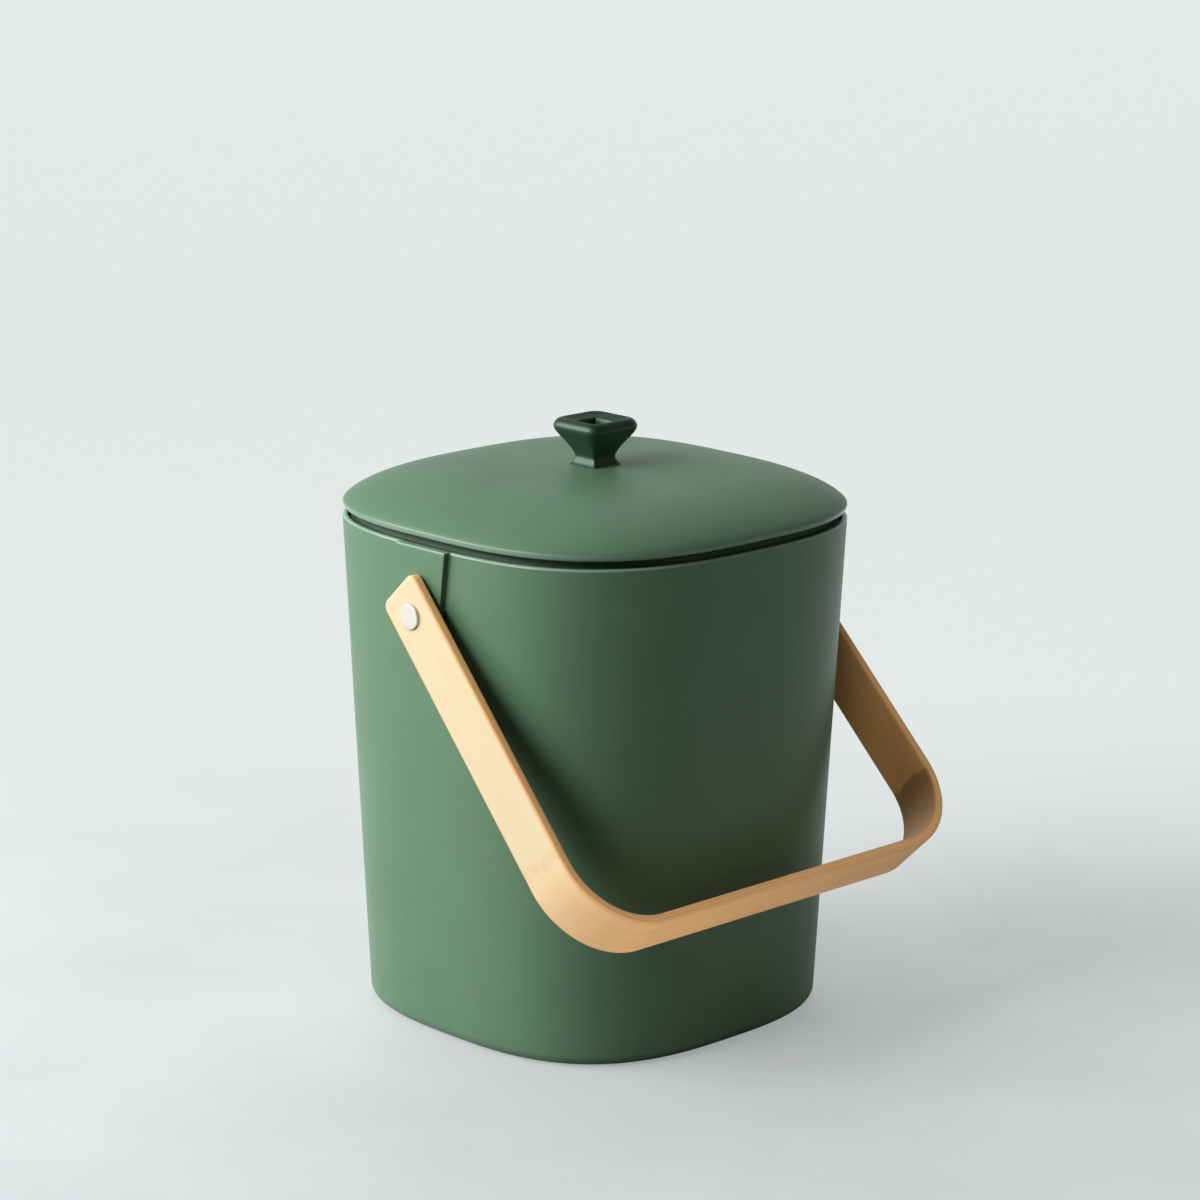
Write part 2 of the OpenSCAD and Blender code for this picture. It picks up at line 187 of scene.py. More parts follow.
def loft(rings, first_cap=True, last_cap=True):
    """Vertices and faces through a stack of equal rings."""
    n = len(rings[0])
    verts = [tuple(p) for ring in rings for p in ring]
    faces = []
    for i in range(len(rings) - 1):
        for j in range(n):
            k = (j + 1) % n
            faces.append((i * n + j, i * n + k, (i + 1) * n + k, (i + 1) * n + j))
    for wanted, ring, start in ((first_cap, rings[0], 0), (last_cap, rings[-1], (len(rings) - 1) * n)):
        if wanted:
            verts.append(tuple(np.mean(ring, axis=0)))
            faces += [(start + j, start + (j + 1) % n, len(verts) - 1) for j in range(n)]
    return verts, faces


def make_object(name, verts, faces, material, sharp_deg=32):
    """A smooth-shaded closed mesh from points in millimetres, with its normals outwards."""
    mesh = bpy.data.meshes.new(name)
    mesh.from_pydata([Vector(v) * MM for v in verts], [], faces)
    bm = bmesh.new()
    bm.from_mesh(mesh)
    bmesh.ops.remove_doubles(bm, verts=bm.verts, dist=1e-7)
    bmesh.ops.recalc_face_normals(bm, faces=bm.faces)
    bm.to_mesh(mesh)
    bm.free()
    mesh.shade_smooth()
    mesh.set_sharp_from_angle(angle=math.radians(sharp_deg))
    mesh.materials.append(material)
    obj = bpy.data.objects.new(name, mesh)
    bpy.context.scene.collection.objects.link(obj)
    return obj


PIECES = []


def dress(obj, body, slot, *nodes):
    """Lets a piece ride on its body and stand for its CAD nodes; slot is not used."""
    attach(obj, body)
    if nodes:
        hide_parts(*nodes)
    PIECES.append(obj)
    return obj


def cut(obj, cutter):
    """Cuts one mesh out of another for good, and drops the cutter."""
    modifier = obj.modifiers.new("cut", "BOOLEAN")
    modifier.operation = "DIFFERENCE"
    modifier.solver = "EXACT"
    modifier.object = cutter
    bpy.context.view_layer.update()
    done = bpy.data.meshes.new_from_object(obj.evaluated_get(bpy.context.evaluated_depsgraph_get()))
    obj.modifiers.clear()
    old = obj.data
    obj.data = done
    done.name = obj.name
    bpy.data.meshes.remove(old)
    bpy.data.objects.remove(cutter)


# ---------- materials ----------

class Nodes:
    """A short way to write a node material."""

    def __init__(self, name):
        self.material = bpy.data.materials.new(name)
        self.material.use_nodes = True
        self.tree = self.material.node_tree
        self.shader = self.tree.nodes["Principled BSDF"]

    @classmethod
    def of_tree(cls, tree):
        """The same short way for a tree that is there already, such as the world's."""
        nodes = cls.__new__(cls)
        nodes.tree = tree
        return nodes

    def set(self, **values):
        for key, value in values.items():
            self.shader.inputs[key.replace("_", " ")].default_value = value

    def add(self, kind, inputs=None, **settings):
        node = self.tree.nodes.new("ShaderNode" + kind)
        for key, value in settings.items():
            setattr(node, key, value)
        for key, value in (inputs or {}).items():
            self.feed(node.inputs[key], value)
        return node

    def feed(self, socket, value):
        if isinstance(value, bpy.types.NodeSocket):
            self.tree.links.new(value, socket)
        else:
            socket.default_value = value

    def object_coords(self):
        return self.add("TexCoord").outputs["Object"]

    def scaled(self, vector, scale):
        return self.add("Mapping", {"Vector": vector, "Scale": scale}).outputs["Vector"]

    def noise(self, vector, scale, detail=3.0, roughness=0.5, distortion=0.0):
        inputs = {
            "Vector": vector,
            "Scale": scale,
            "Detail": detail,
            "Roughness": roughness,
            "Distortion": distortion,
        }
        return self.add("TexNoise", inputs).outputs["Fac"]

    def remap(self, value, low, high, to_low=0.0, to_high=1.0, **settings):
        inputs = {
            "Value": value,
            "From Min": low,
            "From Max": high,
            "To Min": to_low,
            "To Max": to_high,
        }
        return self.add("MapRange", inputs, **settings).outputs["Result"]

    def near(self, value, centre, reach):
        """1 at a value, falling to 0 at a reach from it."""
        return self.remap(self.math("ABSOLUTE", self.math("SUBTRACT", value, centre)), 0.0, reach, 1.0, 0.0)

    def math(self, operation, a, b=0.0):
        node = self.add("Math", operation=operation)
        self.feed(node.inputs[0], a)
        self.feed(node.inputs[1], b)
        return node.outputs["Value"]

    def mix(self, share, a, b, blend="MIX"):
        node = self.add("Mix", data_type="RGBA", blend_type=blend)
        self.feed(node.inputs["Factor"], share)
        self.feed(node.inputs["A"], a)
        self.feed(node.inputs["B"], b)
        return node.outputs["Result"]

    def bump(self, height, distance, strength=1.0):
        node = self.add("Bump", {"Height": height, "Distance": distance, "Strength": strength})
        return node.outputs["Normal"]

    def band(self, value, low, full, fading, gone):
        """0 up to low, 1 from full to fading, and 0 again from gone."""
        return self.math("MULTIPLY", self.remap(value, low, full), self.remap(value, fading, gone, 1.0, 0.0))

    def shade(self, **links):
        for key, value in links.items():
            self.tree.links.new(value, self.shader.inputs[key.replace("_", " ")])
        return self.material


def rgb(r, g, b):
    return (r, g, b, 1.0)


def metres(*sizes):
    """Sizes for a material, whose coordinates are in metres."""
    return [size * MM for size in sizes]


def green_plastic(name, base, dark, roughness, specular=0.45, rise=0.5, shine=(1, 1, 1, 1)):
    """Matt moulded plastic with a fine spark texture.

    The open faces of the rim and lip are shinier and carry a painted highlight as a paler tone, and the
    groove behind them carries painted shade.
    """
    m = Nodes(name)
    coords = m.object_coords()
    broad = m.noise(coords, 22.0, 4.0, 0.55)
    fine = m.noise(coords, 900.0, 2.0, 0.5)
    tone = m.mix(m.remap(broad, 0.35, 0.65), base, dark)
    tone = m.mix(m.remap(fine, 0.3, 0.7, 0.0, 0.16), tone, dark)
    grain = m.noise(coords, 2600.0, 2.0, 0.6)
    orange_peel = m.noise(coords, 420.0, 1.0, 0.4)
    height = m.math("ADD", grain, m.math("MULTIPLY", orange_peel, 1.6))
    rough = m.remap(m.math("ADD", fine, broad), 0.7, 1.3, roughness - 0.03, roughness + 0.04)
    split = m.add("SeparateXYZ", {"Vector": coords}).outputs
    across = m.math("POWER", m.math("ABSOLUTE", split["X"]), SQUARENESS)
    along = m.math("POWER", m.math("ABSOLUTE", split["Y"]), SQUARENESS)
    half = m.math("POWER", m.math("ADD", across, along), 1 / SQUARENESS)
    outside = m.remap(half, *OPEN_FACE_HALF)
    rim = m.math("MULTIPLY", m.band(split["Z"], *SHINY_Z), outside)
    rough = m.math("SUBTRACT", rough, m.math("MULTIPLY", rim, 0.22))
    # Painted highlight: the open faces of the rim and lip are drawn paler, where light catches their edges.
    rim_highlight = m.math("MULTIPLY", m.band(split["Z"], *RIM_HIGHLIGHT_Z), 0.8)
    lip_highlight = m.math("MULTIPLY", m.band(split["Z"], *LIP_HIGHLIGHT_Z), 0.4)
    painted_highlight = m.math("MULTIPLY", m.math("MAXIMUM", rim_highlight, lip_highlight), outside)
    tone = m.mix(painted_highlight, tone, PAINTED_HIGHLIGHT_GREEN)
    # Painted shade: inside the open-face line, from the groove's foot up to the lip, faces are drawn near
    # black as shade in the gap, and they are made rougher.
    groove = m.math("MULTIPLY", m.band(split["Z"], *GROOVE_SHADE_Z), m.math("SUBTRACT", 1.0, outside))
    tone = m.mix(m.math("MULTIPLY", groove, 0.75), tone, GROOVE_SHADE_GREEN)
    rough = m.math("ADD", rough, m.math("MULTIPLY", groove, 0.3))
    m.set(Specular_IOR_Level=specular, Specular_Tint=shine)
    return m.shade(Base_Color=tone, Roughness=rough, Normal=m.bump(height, 0.00002, rise))


def bamboo(name):
    """Bent bamboo: fibres in the length, plies in the depth, arms paler on their outer faces (their own tone
    with painted sheen), an inner face drawn darker (a browner ply with painted shade), browner edges, two
    node bands.
    """
    m = Nodes(name)
    flat = m.add("UVMap", uv_map="length_width").outputs["UV"]
    deep = m.add("UVMap", uv_map="depth").outputs["UV"]
    split = m.add("SeparateXYZ", {"Vector": flat})
    depth = m.add("SeparateXYZ", {"Vector": deep}).outputs["X"]
    along = split.outputs["X"]
    across = split.outputs["Y"]
    place = m.add("CombineXYZ", {"X": along, "Y": across, "Z": depth}).outputs["Vector"]
    broad = m.noise(m.scaled(place, (9.0, 130.0, 160.0)), 1.0, 3.0, 0.5)
    streak = m.noise(m.scaled(place, (16.0, 1300.0, 1300.0)), 1.0, 3.0, 0.6)
    fibre = m.noise(m.scaled(place, (50.0, 4200.0, 4200.0)), 1.0, 2.0, 0.6)
    from_middle = m.math("ABSOLUTE", m.math("SUBTRACT", along, WOOD_LENGTH / 2))
    arm = m.remap(m.math("ADD", from_middle, m.math("MULTIPLY", broad, 0.02)), 0.092, 0.146)
    # The arms' outer faces, turned to the light, are drawn paler: partly their own tone, paler than the
    # heat-browned bends, and partly painted sheen.
    outer = m.remap(depth, 0.0008, 0.0016)
    arm_pale_and_sheen = m.math("MULTIPLY", arm, outer)
    pale = m.mix(arm_pale_and_sheen, WOOD_HONEY, WOOD_PALE_AND_SHEEN)
    grain = m.mix(m.math("MULTIPLY", arm_pale_and_sheen, 0.55), WOOD_TAN, pale)
    tone = m.mix(m.remap(broad, 0.3, 0.7, 0.0, 0.35), pale, grain)
    tone = m.mix(m.remap(streak, 0.48, 0.70, 0.0, 0.55), tone, grain)
    tone = m.mix(m.remap(fibre, 0.42, 0.75, 0.0, 0.35), tone, grain)
    edge = m.remap(m.math("ABSOLUTE", across), 0.0109, 0.0116, 0.0, 0.7)
    edge = m.math("MULTIPLY", edge, m.remap(from_middle, 0.08, 0.12, 0.2, 1.0))
    tone = m.mix(edge, tone, WOOD_EDGE)
    arris = m.near(m.math("ABSOLUTE", across), 0.0115, 0.0007)
    arris = m.math("MULTIPLY", arris, m.remap(depth, 0.0008, 0.0014))
    tone = m.mix(m.math("MULTIPLY", arris, 0.6), tone, WOOD_ARRIS)
    # The inner face, turned to the bin, is drawn darker brown: partly a browner ply, partly painted shade.
    inner_face = m.remap(depth, -0.0012, -0.0018)
    tone = m.mix(m.math("MULTIPLY", inner_face, 0.75), tone, WOOD_BROWN)
    flecks = m.noise(m.scaled(place, (260.0, 900.0, 900.0)), 1.0, 2.0, 0.6)
    wander = m.math("ADD", along, m.math("MULTIPLY", broad, 0.006))
    left_node = m.math("MULTIPLY", m.near(wander, LEFT_NODE, 0.005), m.remap(flecks, 0.42, 0.62))
    tone = m.mix(m.math("MULTIPLY", left_node, 0.32), tone, WOOD_BROWN)
    right_node = m.band(wander, *RIGHT_NODE)
    tone = m.mix(m.math("MULTIPLY", m.math("MULTIPLY", right_node, inner_face), 0.75), tone, WOOD_DARK)
    glue = m.math("ABSOLUTE", m.math("SUBTRACT", m.math("ABSOLUTE", depth), PLY_HALF))
    tone = m.mix(m.remap(glue, 0.00004, 0.00016, 0.6, 0.0), tone, WOOD_BROWN)
    m.set(Specular_IOR_Level=0.45)
    rough = m.remap(streak, 0.3, 0.7, 0.42, 0.56)
    height = m.math("ADD", m.math("MULTIPLY", streak, 0.8), m.math("MULTIPLY", fibre, 0.5))
    return m.shade(Base_Color=tone, Roughness=rough, Normal=m.bump(height, 0.00005, 0.5))


def satin_metal(name, base, roughness, scratch_scale, patchy=0.08):
    """Satin metal with fine turned or brushed lines."""
    m = Nodes(name)
    coords = m.object_coords()
    lines = m.noise(m.scaled(coords, (1.0, 9.0, 1.0)), scratch_scale, 2.0, 0.6)
    spots = m.noise(coords, 700.0, 3.0, 0.5)
    darker = tuple(c * (1 - patchy) for c in base[:3]) + (1.0,)
    tone = m.mix(m.remap(spots, 0.35, 0.65), base, darker)
    m.set(Metallic=1.0)
    rough = m.remap(lines, 0.3, 0.7, roughness - 0.06, roughness + 0.06)
    return m.shade(Base_Color=tone, Roughness=rough, Normal=m.bump(lines, 0.00001, 0.4))


def nylon(name):
    """Off-white turned nylon."""
    m = Nodes(name)
    coords = m.object_coords()
    spots = m.noise(coords, 500.0, 3.0, 0.5)
    tone = m.mix(spots, rgb(0.78, 0.76, 0.70), rgb(0.66, 0.64, 0.57))
    m.set(Roughness=0.45, Subsurface_Weight=0.1)
    return m.shade(Base_Color=tone, Normal=m.bump(spots, 0.00002, 0.4))


def charcoal_felt(name):
    """Needled felt loaded with charcoal: matted fibres and black grains."""
    m = Nodes(name)
    coords = m.object_coords()
    mat = m.noise(m.scaled(coords, (1.0, 1.0, 2.0)), 1500.0, 4.0, 0.65, 0.6)
    hairs = m.noise(coords, 260.0, 5.0, 0.7, 1.5)
    tone = m.mix(m.remap(mat, 0.35, 0.65), rgb(0.010, 0.010, 0.011), rgb(0.04, 0.04, 0.042))
    tone = m.mix(m.remap(hairs, 0.55, 0.75, 0.0, 0.4), tone, rgb(0.08, 0.08, 0.08))
    height = m.math("ADD", mat, m.math("MULTIPLY", hairs, 1.5))
    m.set(Roughness=0.95, Specular_IOR_Level=0.05)
    return m.shade(Base_Color=tone, Normal=m.bump(height, 0.0003, 0.8))


def floor_material():
    """A plain pale floor, paler behind, as a sweep is; part of what the camera sees is its own pale glow."""
    m = Nodes("studio_floor")
    coords = m.object_coords()
    split = m.add("SeparateXYZ", {"Vector": coords})
    back_x = m.math("MULTIPLY", split.outputs["X"], BACK_X)
    back = m.math("ADD", back_x, m.math("MULTIPLY", split.outputs["Y"], BACK_Y))
    cloud = m.noise(coords, 9.0, 5.0, 0.55)
    table = m.mix(m.remap(cloud, 0.3, 0.7), TABLE_DARK, TABLE_PALE)
    far = m.remap(back, SWEEP_FROM, SWEEP_TO, interpolation_type="SMOOTHSTEP")
    tone = m.mix(far, table, BACKDROP)
    path = m.add("LightPath").outputs
    mirrored = m.math("MAXIMUM", path["Is Glossy Ray"], path["Is Transmission Ray"])
    seen = m.math("MAXIMUM", path["Is Camera Ray"], mirrored)
    near_glow = m.mix(mirrored, rgb(FLOOR_GLOW, FLOOR_GLOW, FLOOR_GLOW), rgb(0, 0, 0))
    glow = m.mix(far, near_glow, rgb(0.9, 0.9, 0.9))
    m.set(Roughness=0.7, Specular_IOR_Level=0.2)
    shade = m.mix(seen, BOUNCE, m.mix(glow, tone, rgb(0, 0, 0)))
    return m.shade(Base_Color=shade, Emission_Color=tone, Emission_Strength=m.math("MULTIPLY", seen, glow))


# Metres along the strap from its right end: its length and its two bamboo nodes. Then half the middle ply.
WOOD_LENGTH = 0.5182
LEFT_NODE = 0.391
RIGHT_NODE = (0.1405, 0.1425, 0.146, 0.178)
PLY_HALF = 0.0007
# Pale tone of the arms' outer faces: partly their own tone, partly painted sheen.
WOOD_PALE_AND_SHEEN = rgb(0.625, 0.53, 0.345)
WOOD_HONEY = rgb(0.86, 0.49, 0.21)
WOOD_TAN = rgb(0.62, 0.345, 0.135)
WOOD_EDGE = rgb(0.70, 0.39, 0.15)
WOOD_ARRIS = rgb(0.62, 0.29, 0.085)
WOOD_BROWN = rgb(0.40, 0.19, 0.062)
WOOD_DARK = rgb(0.16, 0.085, 0.035)

BACK_X = 0.693
BACK_Y = 0.721
SWEEP_FROM = 0.0
SWEEP_TO = 0.5
FLOOR_GLOW = 0.5
TABLE_DARK = rgb(0.62, 0.655, 0.66)
TABLE_PALE = rgb(0.68, 0.715, 0.72)
BACKDROP = rgb(0.75, 0.80, 0.785)
BOUNCE = rgb(0.12, 0.122, 0.12)

# Heights at which the rim and lip shine and carry a painted highlight as a paler tone, and at which the
# groove behind them carries painted shade.
SHINY_Z = metres(BIN_H - 1.2, BIN_H - 0.6, LID_WIDE_Z - 0.5, LID_WIDE_Z + 0.7)
RIM_HIGHLIGHT_Z = metres(BIN_H - 1.1, BIN_H - 0.6, BIN_H + 0.1, BIN_H + 0.4)
LIP_HIGHLIGHT_Z = metres(LID_EDGE_Z + 0.1, LID_EDGE_Z + 0.9, LID_WIDE_Z - 0.1, LID_WIDE_Z + 0.6)
GROOVE_SHADE_Z = metres(GROOVE_Z - 1.0, GROOVE_Z - 0.4, LID_EDGE_Z, LID_EDGE_Z + 0.2)
OPEN_FACE_HALF = metres(LID_HALF - 2.3, LID_HALF - 1.5)
KNOB_SHINE = rgb(0.68, 1.0, 0.76)
# A paler green painted on the open faces of the rim and lip as a highlight.
PAINTED_HIGHLIGHT_GREEN = rgb(0.28, 0.44, 0.33)
# A near-black green painted in the groove behind the lip as shade.
GROOVE_SHADE_GREEN = rgb(0.012, 0.026, 0.015)
GREEN = green_plastic("green_plastic", rgb(0.106, 0.212, 0.119), rgb(0.098, 0.197, 0.110), 0.41)
KNOB_GREEN = green_plastic(
    "green_satin", rgb(0.010, 0.033, 0.017), rgb(0.009, 0.030, 0.015), 0.42,
    specular=0.75, rise=0.0, shine=KNOB_SHINE,
)
WOOD = bamboo("bamboo")
STEEL = satin_metal("satin_steel", rgb(0.69, 0.67, 0.585), 0.46, 1400.0, 0.05)
INNER_STEEL = satin_metal("inner_steel", rgb(0.62, 0.62, 0.61), 0.32, 1800.0)
BRASS = satin_metal("brass", rgb(0.72, 0.52, 0.24), 0.3, 1600.0)
NYLON = nylon("nylon")
FELT = charcoal_felt("charcoal_felt")


# ---------- bin ----------

def bin_shell():
    recess_r = 0.6
    ledge_r = 0.5
    recess = FOOT_HALF - FOOT_R - FOOT_LAND
    profile = [(recess * s, FOOT_RECESS) for s in (0.06, 0.25, 0.5, 0.75, 0.93)]
    profile += arc(recess - recess_r, FOOT_RECESS - recess_r, recess_r, 90, 0, 5)
    profile += arc(recess + recess_r, recess_r, recess_r, 180, 270, 5)
    profile += line((recess + recess_r, 0), (FOOT_HALF - FOOT_R, 0), 4)
    foot = []
    for t in np.radians(np.linspace(0, 90, 17)):
        z = FOOT_R * (1 - math.cos(t))
        foot.append((wall_at(z) - FOOT_R * (1 - math.sin(t)), z))
    profile += foot
    profile += line((wall_at(FOOT_R), FOOT_R), (RIM_HALF, BIN_H - RIM_OUT_R), 34)
    profile += arc(RIM_HALF - RIM_OUT_R, BIN_H - RIM_OUT_R, RIM_OUT_R, 0, 90, 10)
    profile += arc(RIM_HALF - RIM_T + RIM_IN_R, BIN_H - RIM_IN_R, RIM_IN_R, 90, 180, 8)
    rim_foot = wall_at(LEDGE_Z) - RIM_T
    ledge_in = wall_at(LEDGE_Z) - WALL_T
    profile += line((RIM_HALF - RIM_T, BIN_H - RIM_IN_R), (rim_foot, LEDGE_Z + ledge_r), 4)
    profile += arc(rim_foot - ledge_r, LEDGE_Z + ledge_r, ledge_r, 0, -90, 4)
    profile += arc(ledge_in + ledge_r, LEDGE_Z - ledge_r, ledge_r, 90, 180, 4)
    inner_top = (ledge_in, LEDGE_Z - ledge_r)
    floor_arc = []
    for t in np.radians(np.linspace(0, 90, 13)):
        z = FLOOR_Z + INNER_R * (1 - math.sin(t))
        floor_arc.append((wall_at(z) - WALL_T - INNER_R * (1 - math.cos(t)), z))
    profile += line(inner_top, floor_arc[0], 30)
    profile += floor_arc
    profile += [(floor_arc[-1][0] * s, FLOOR_Z) for s in (0.93, 0.75, 0.5, 0.25, 0.06)]
    verts, faces = loft([plan_ring(half, z) for half, z in profile])
    obj = make_object("bin_shell", verts, faces, GREEN, 50)
    return dress(obj, "bin", "green_body", "bin_body")


def wall_dip(y, z):
    """How far the curved wall lies inside the plane of a pad, at a point of it."""
    a = wall_at(z)
    return a * (1 - (1 - abs(y / a) ** SQUARENESS) ** (1 / SQUARENESS))


def pad_taper():
    """The angle of a pad's sides, so that they touch its round end and reach its width at the rim."""
    drop = BIN_H - PIVOT_Z
    low, high = 0.0, 0.5
    for _ in range(40):
        middle = (low + high) / 2
        if PAD_R / math.cos(middle) + drop * math.tan(middle) < PAD_W / 2:
            low = middle
        else:
            high = middle
    return low


def pad_outline(off, depth, drop):
    """Points (across, up) of a pad's outline moved outwards by off; drop lowers its top edge."""
    taper = pad_taper()
    top = (BIN_H - PIVOT_Z + depth * math.sin(DRAFT)) / math.cos(DRAFT) - drop
    r = PAD_R + off
    turn = np.linspace(-taper, -math.pi + taper, 61)
    bottom = [(r * math.cos(t), r * math.sin(t)) for t in turn]
    reach = (top + r * math.sin(taper)) / math.cos(taper)
    left = []
    for t in np.linspace(0, reach, 25)[1:]:
        across = -r * math.cos(taper) - t * math.sin(taper)
        left.append((across, -r * math.sin(taper) + t * math.cos(taper)))
    top_row = np.linspace(left[-1][0], -left[-1][0], 31)[1:-1]
    right = [(-u, v) for u, v in reversed(left)]
    return bottom + left + [(u, top) for u in top_row] + right


def pad_point(u, v, depth, follow, side):
    z = PIVOT_Z + v * math.cos(DRAFT) - depth * math.sin(DRAFT)
    x = wall_at(PIVOT_Z) + v * math.sin(DRAFT) + depth * math.cos(DRAFT)
    x -= follow * wall_dip(u, min(z, BIN_H))
    return side * x, side * u, min(z, BIN_H)


def pivot_pad(name, side):
    """The raised tongue under a pivot, with a small fillet at its foot and a softened edge."""
    fillet = 0.2
    edge = 0.35
    rings = [(fillet, -1.6, 0.0, 1.0), (fillet, -0.06, 0.0, 1.0)]
    for t in np.radians(np.linspace(0, 90, 6)[1:]):
        rings.append((fillet * (1 - math.sin(t)), fillet * (1 - math.cos(t)), 0.0, 1.0 - t / math.pi))
    rings.append((0.0, PAD_T * 0.5, 0.0, 0.3))
    for t in np.radians(np.linspace(0, 90, 7)):
        inwards = edge * (1 - math.cos(t))
        rings.append((-inwards, PAD_T - edge + edge * math.sin(t), inwards, 0.0))
    out = []
    for off, depth, drop, follow in rings:
        out.append([pad_point(u, v, depth, follow, side) for u, v in pad_outline(off, depth, drop)])
    last = np.array(pad_outline(-edge, PAD_T, edge))
    turn = np.arctan2(last[:, 1], last[:, 0])
    for share, r, depth in ((0.5, 7.2, PAD_T), (1.0, SEAT_R + 0.25, PAD_T), (1.0, SEAT_R, PAD_T + 0.2),
                            (1.0, SEAT_R - 0.25, PAD_T + SEAT_T), (1.0, 3.0, PAD_T + SEAT_T)):
        circle = np.column_stack([r * np.cos(turn), r * np.sin(turn)])
        ring = last * (1 - share) + circle * share
        out.append([pad_point(u, v, depth, 0.0, side) for u, v in ring])
    verts, faces = loft(out)
    obj = make_object(name, verts, faces, GREEN, 40)
    return dress(obj, "bin", "green_body", "bin_body")


def axis_lathe(name, profile, side, material, steps=96, sharp_deg=32):
    """A turned piece on the pivot axis from (radius, distance from the middle plane) points."""
    turn = np.linspace(0, 2 * np.pi, steps, endpoint=False)
    rings = []
    for r, x in profile:
        ring = [np.full(steps, side * x), r * np.cos(turn), PIVOT_Z + r * np.sin(turn)]
        rings.append(np.column_stack(ring))
    verts, faces = loft(rings)
    return make_object(name, verts, faces, material, sharp_deg)


def inner_boss(name, side):
    """The flat seat inside the bin, round the hole for the post."""
    face = wall_at(PIVOT_Z) - WALL_T - BOSS_T
    root = face + BOSS_T + 1.6
    profile = [(BOSS_R + 0.6, root), (BOSS_R + 0.6, face + BOSS_T)]
    profile += [(BOSS_R + 0.15, face + 0.55), (BOSS_R, face + 0.3), (BOSS_R - 0.1, face + 0.1)]
    profile += [(BOSS_R - 0.3, face), (4.5, face), (1.6, face)]
    obj = axis_lathe(name, profile, side, GREEN)
    return dress(obj, "bin", "green_body", "bin_body")


def pivot_post(name, side, node):
    """A flat satin head with a softened edge, on its barrel."""
    edge = 0.32
    chamfer = 0.3
    top = HEAD_X + HEAD_T
    profile = [(0.4, BARREL_END_X), (POST_R - chamfer, BARREL_END_X)]
    profile += [(POST_R, BARREL_END_X + chamfer), (POST_R, HEAD_X - 0.1)]
    profile += [(POST_R + 0.1, HEAD_X), (HEAD_R - 0.12, HEAD_X), (HEAD_R, HEAD_X + 0.12)]
    for t in np.radians(np.linspace(0, 90, 7)):
        profile.append((HEAD_R - edge + edge * math.cos(t), top - edge + edge * math.sin(t)))
    profile += [(3.6, top), (2.0, top), (0.5, top)]
    obj = axis_lathe(name, profile, side, STEEL)
    return dress(obj, "bin", "satin_steel", node)


# ---------- handle ----------

def strap_path():
    """Stations along the strap's middle line: (distance, x, z, angle of its outward normal), arms down."""
    grip_mid = GRIP_IN + STRAP_T / 2
    mid_r = BEND_R + STRAP_T / 2
    splay = math.atan(ARM_FLARE / grip_mid)
    bend_x = PIVOT_HALF + ARM_FLARE - mid_r * math.tan(math.pi / 4 + splay / 2)
    bend_z = -grip_mid + mid_r
    top = np.array([PIVOT_HALF - STRAP_PAST * math.tan(splay), STRAP_PAST])
    bend_top = np.array([bend_x + mid_r * math.cos(splay), bend_z + mid_r * math.sin(splay)])
    arm = np.linalg.norm(bend_top - top)
    half = []
    end_steps = [STRAP_EDGE_R * (1 - math.cos(t)) for t in np.radians(np.linspace(0, 90, 6))]
    end_steps += [STRAP_END_R * (1 - math.cos(t)) for t in np.radians(np.linspace(50, 90, 6))]
    stops = sorted(set(round(s, 4) for s in end_steps)) + list(np.linspace(STRAP_END_R, arm, 70)[1:])
    for s in stops:
        place = top + (bend_top - top) * s / arm
        half.append((s, place[0], place[1], splay))
    turn = splay + math.pi / 2
    for share in np.linspace(0, 1, 49)[1:]:
        t = splay - turn * share
        x, z = bend_x + mid_r * math.cos(t), bend_z + mid_r * math.sin(t)
        half.append((arm + mid_r * turn * share, x, z, t))
    bottom = half[-1]
    for share in np.linspace(0, 1, 30)[1:]:
        half.append((bottom[0] + bend_x * share, bend_x * (1 - share), bottom[2], -math.pi / 2))
    length = half[-1][0]
    left = [(2 * length - s, -x, z, math.pi - a) for s, x, z, a in reversed(half[:-1])]
    return half + left, 2 * length


def strap_section(inset, width_cut):
    """Points (depth, width) round the strap, with rounded edges; inset shrinks it near an end."""
    r = STRAP_EDGE_R
    a = STRAP_T / 2 - inset
    b = STRAP_W / 2 - width_cut - inset
    r = min(r, a - 0.02)
    points = []
    for quarter, (sa, sb) in enumerate(((1, 1), (-1, 1), (-1, -1), (1, -1))):
        turn = np.radians(np.linspace(90 * quarter, 90 * quarter + 90, 7))
        for t in turn:
            points.append((sa * (a - r) + r * math.cos(t), sb * (b - r) + r * math.sin(t)))
        if quarter in (0, 2):
            points += [(p * (a - r) * sa, sb * b) for p in (0.5, 0.0, -0.5)]
        else:
            points += [(sa * a, sb * (b - r) * p) for p in np.linspace(1, -1, 15)[1:-1]]
    return points


def strap_inset(q, r):
    """How far a rounded end of radius r draws in at a distance q from the end."""
    return r - math.sqrt(max(r * r - (r - q) ** 2, 0)) if q < r else 0.0


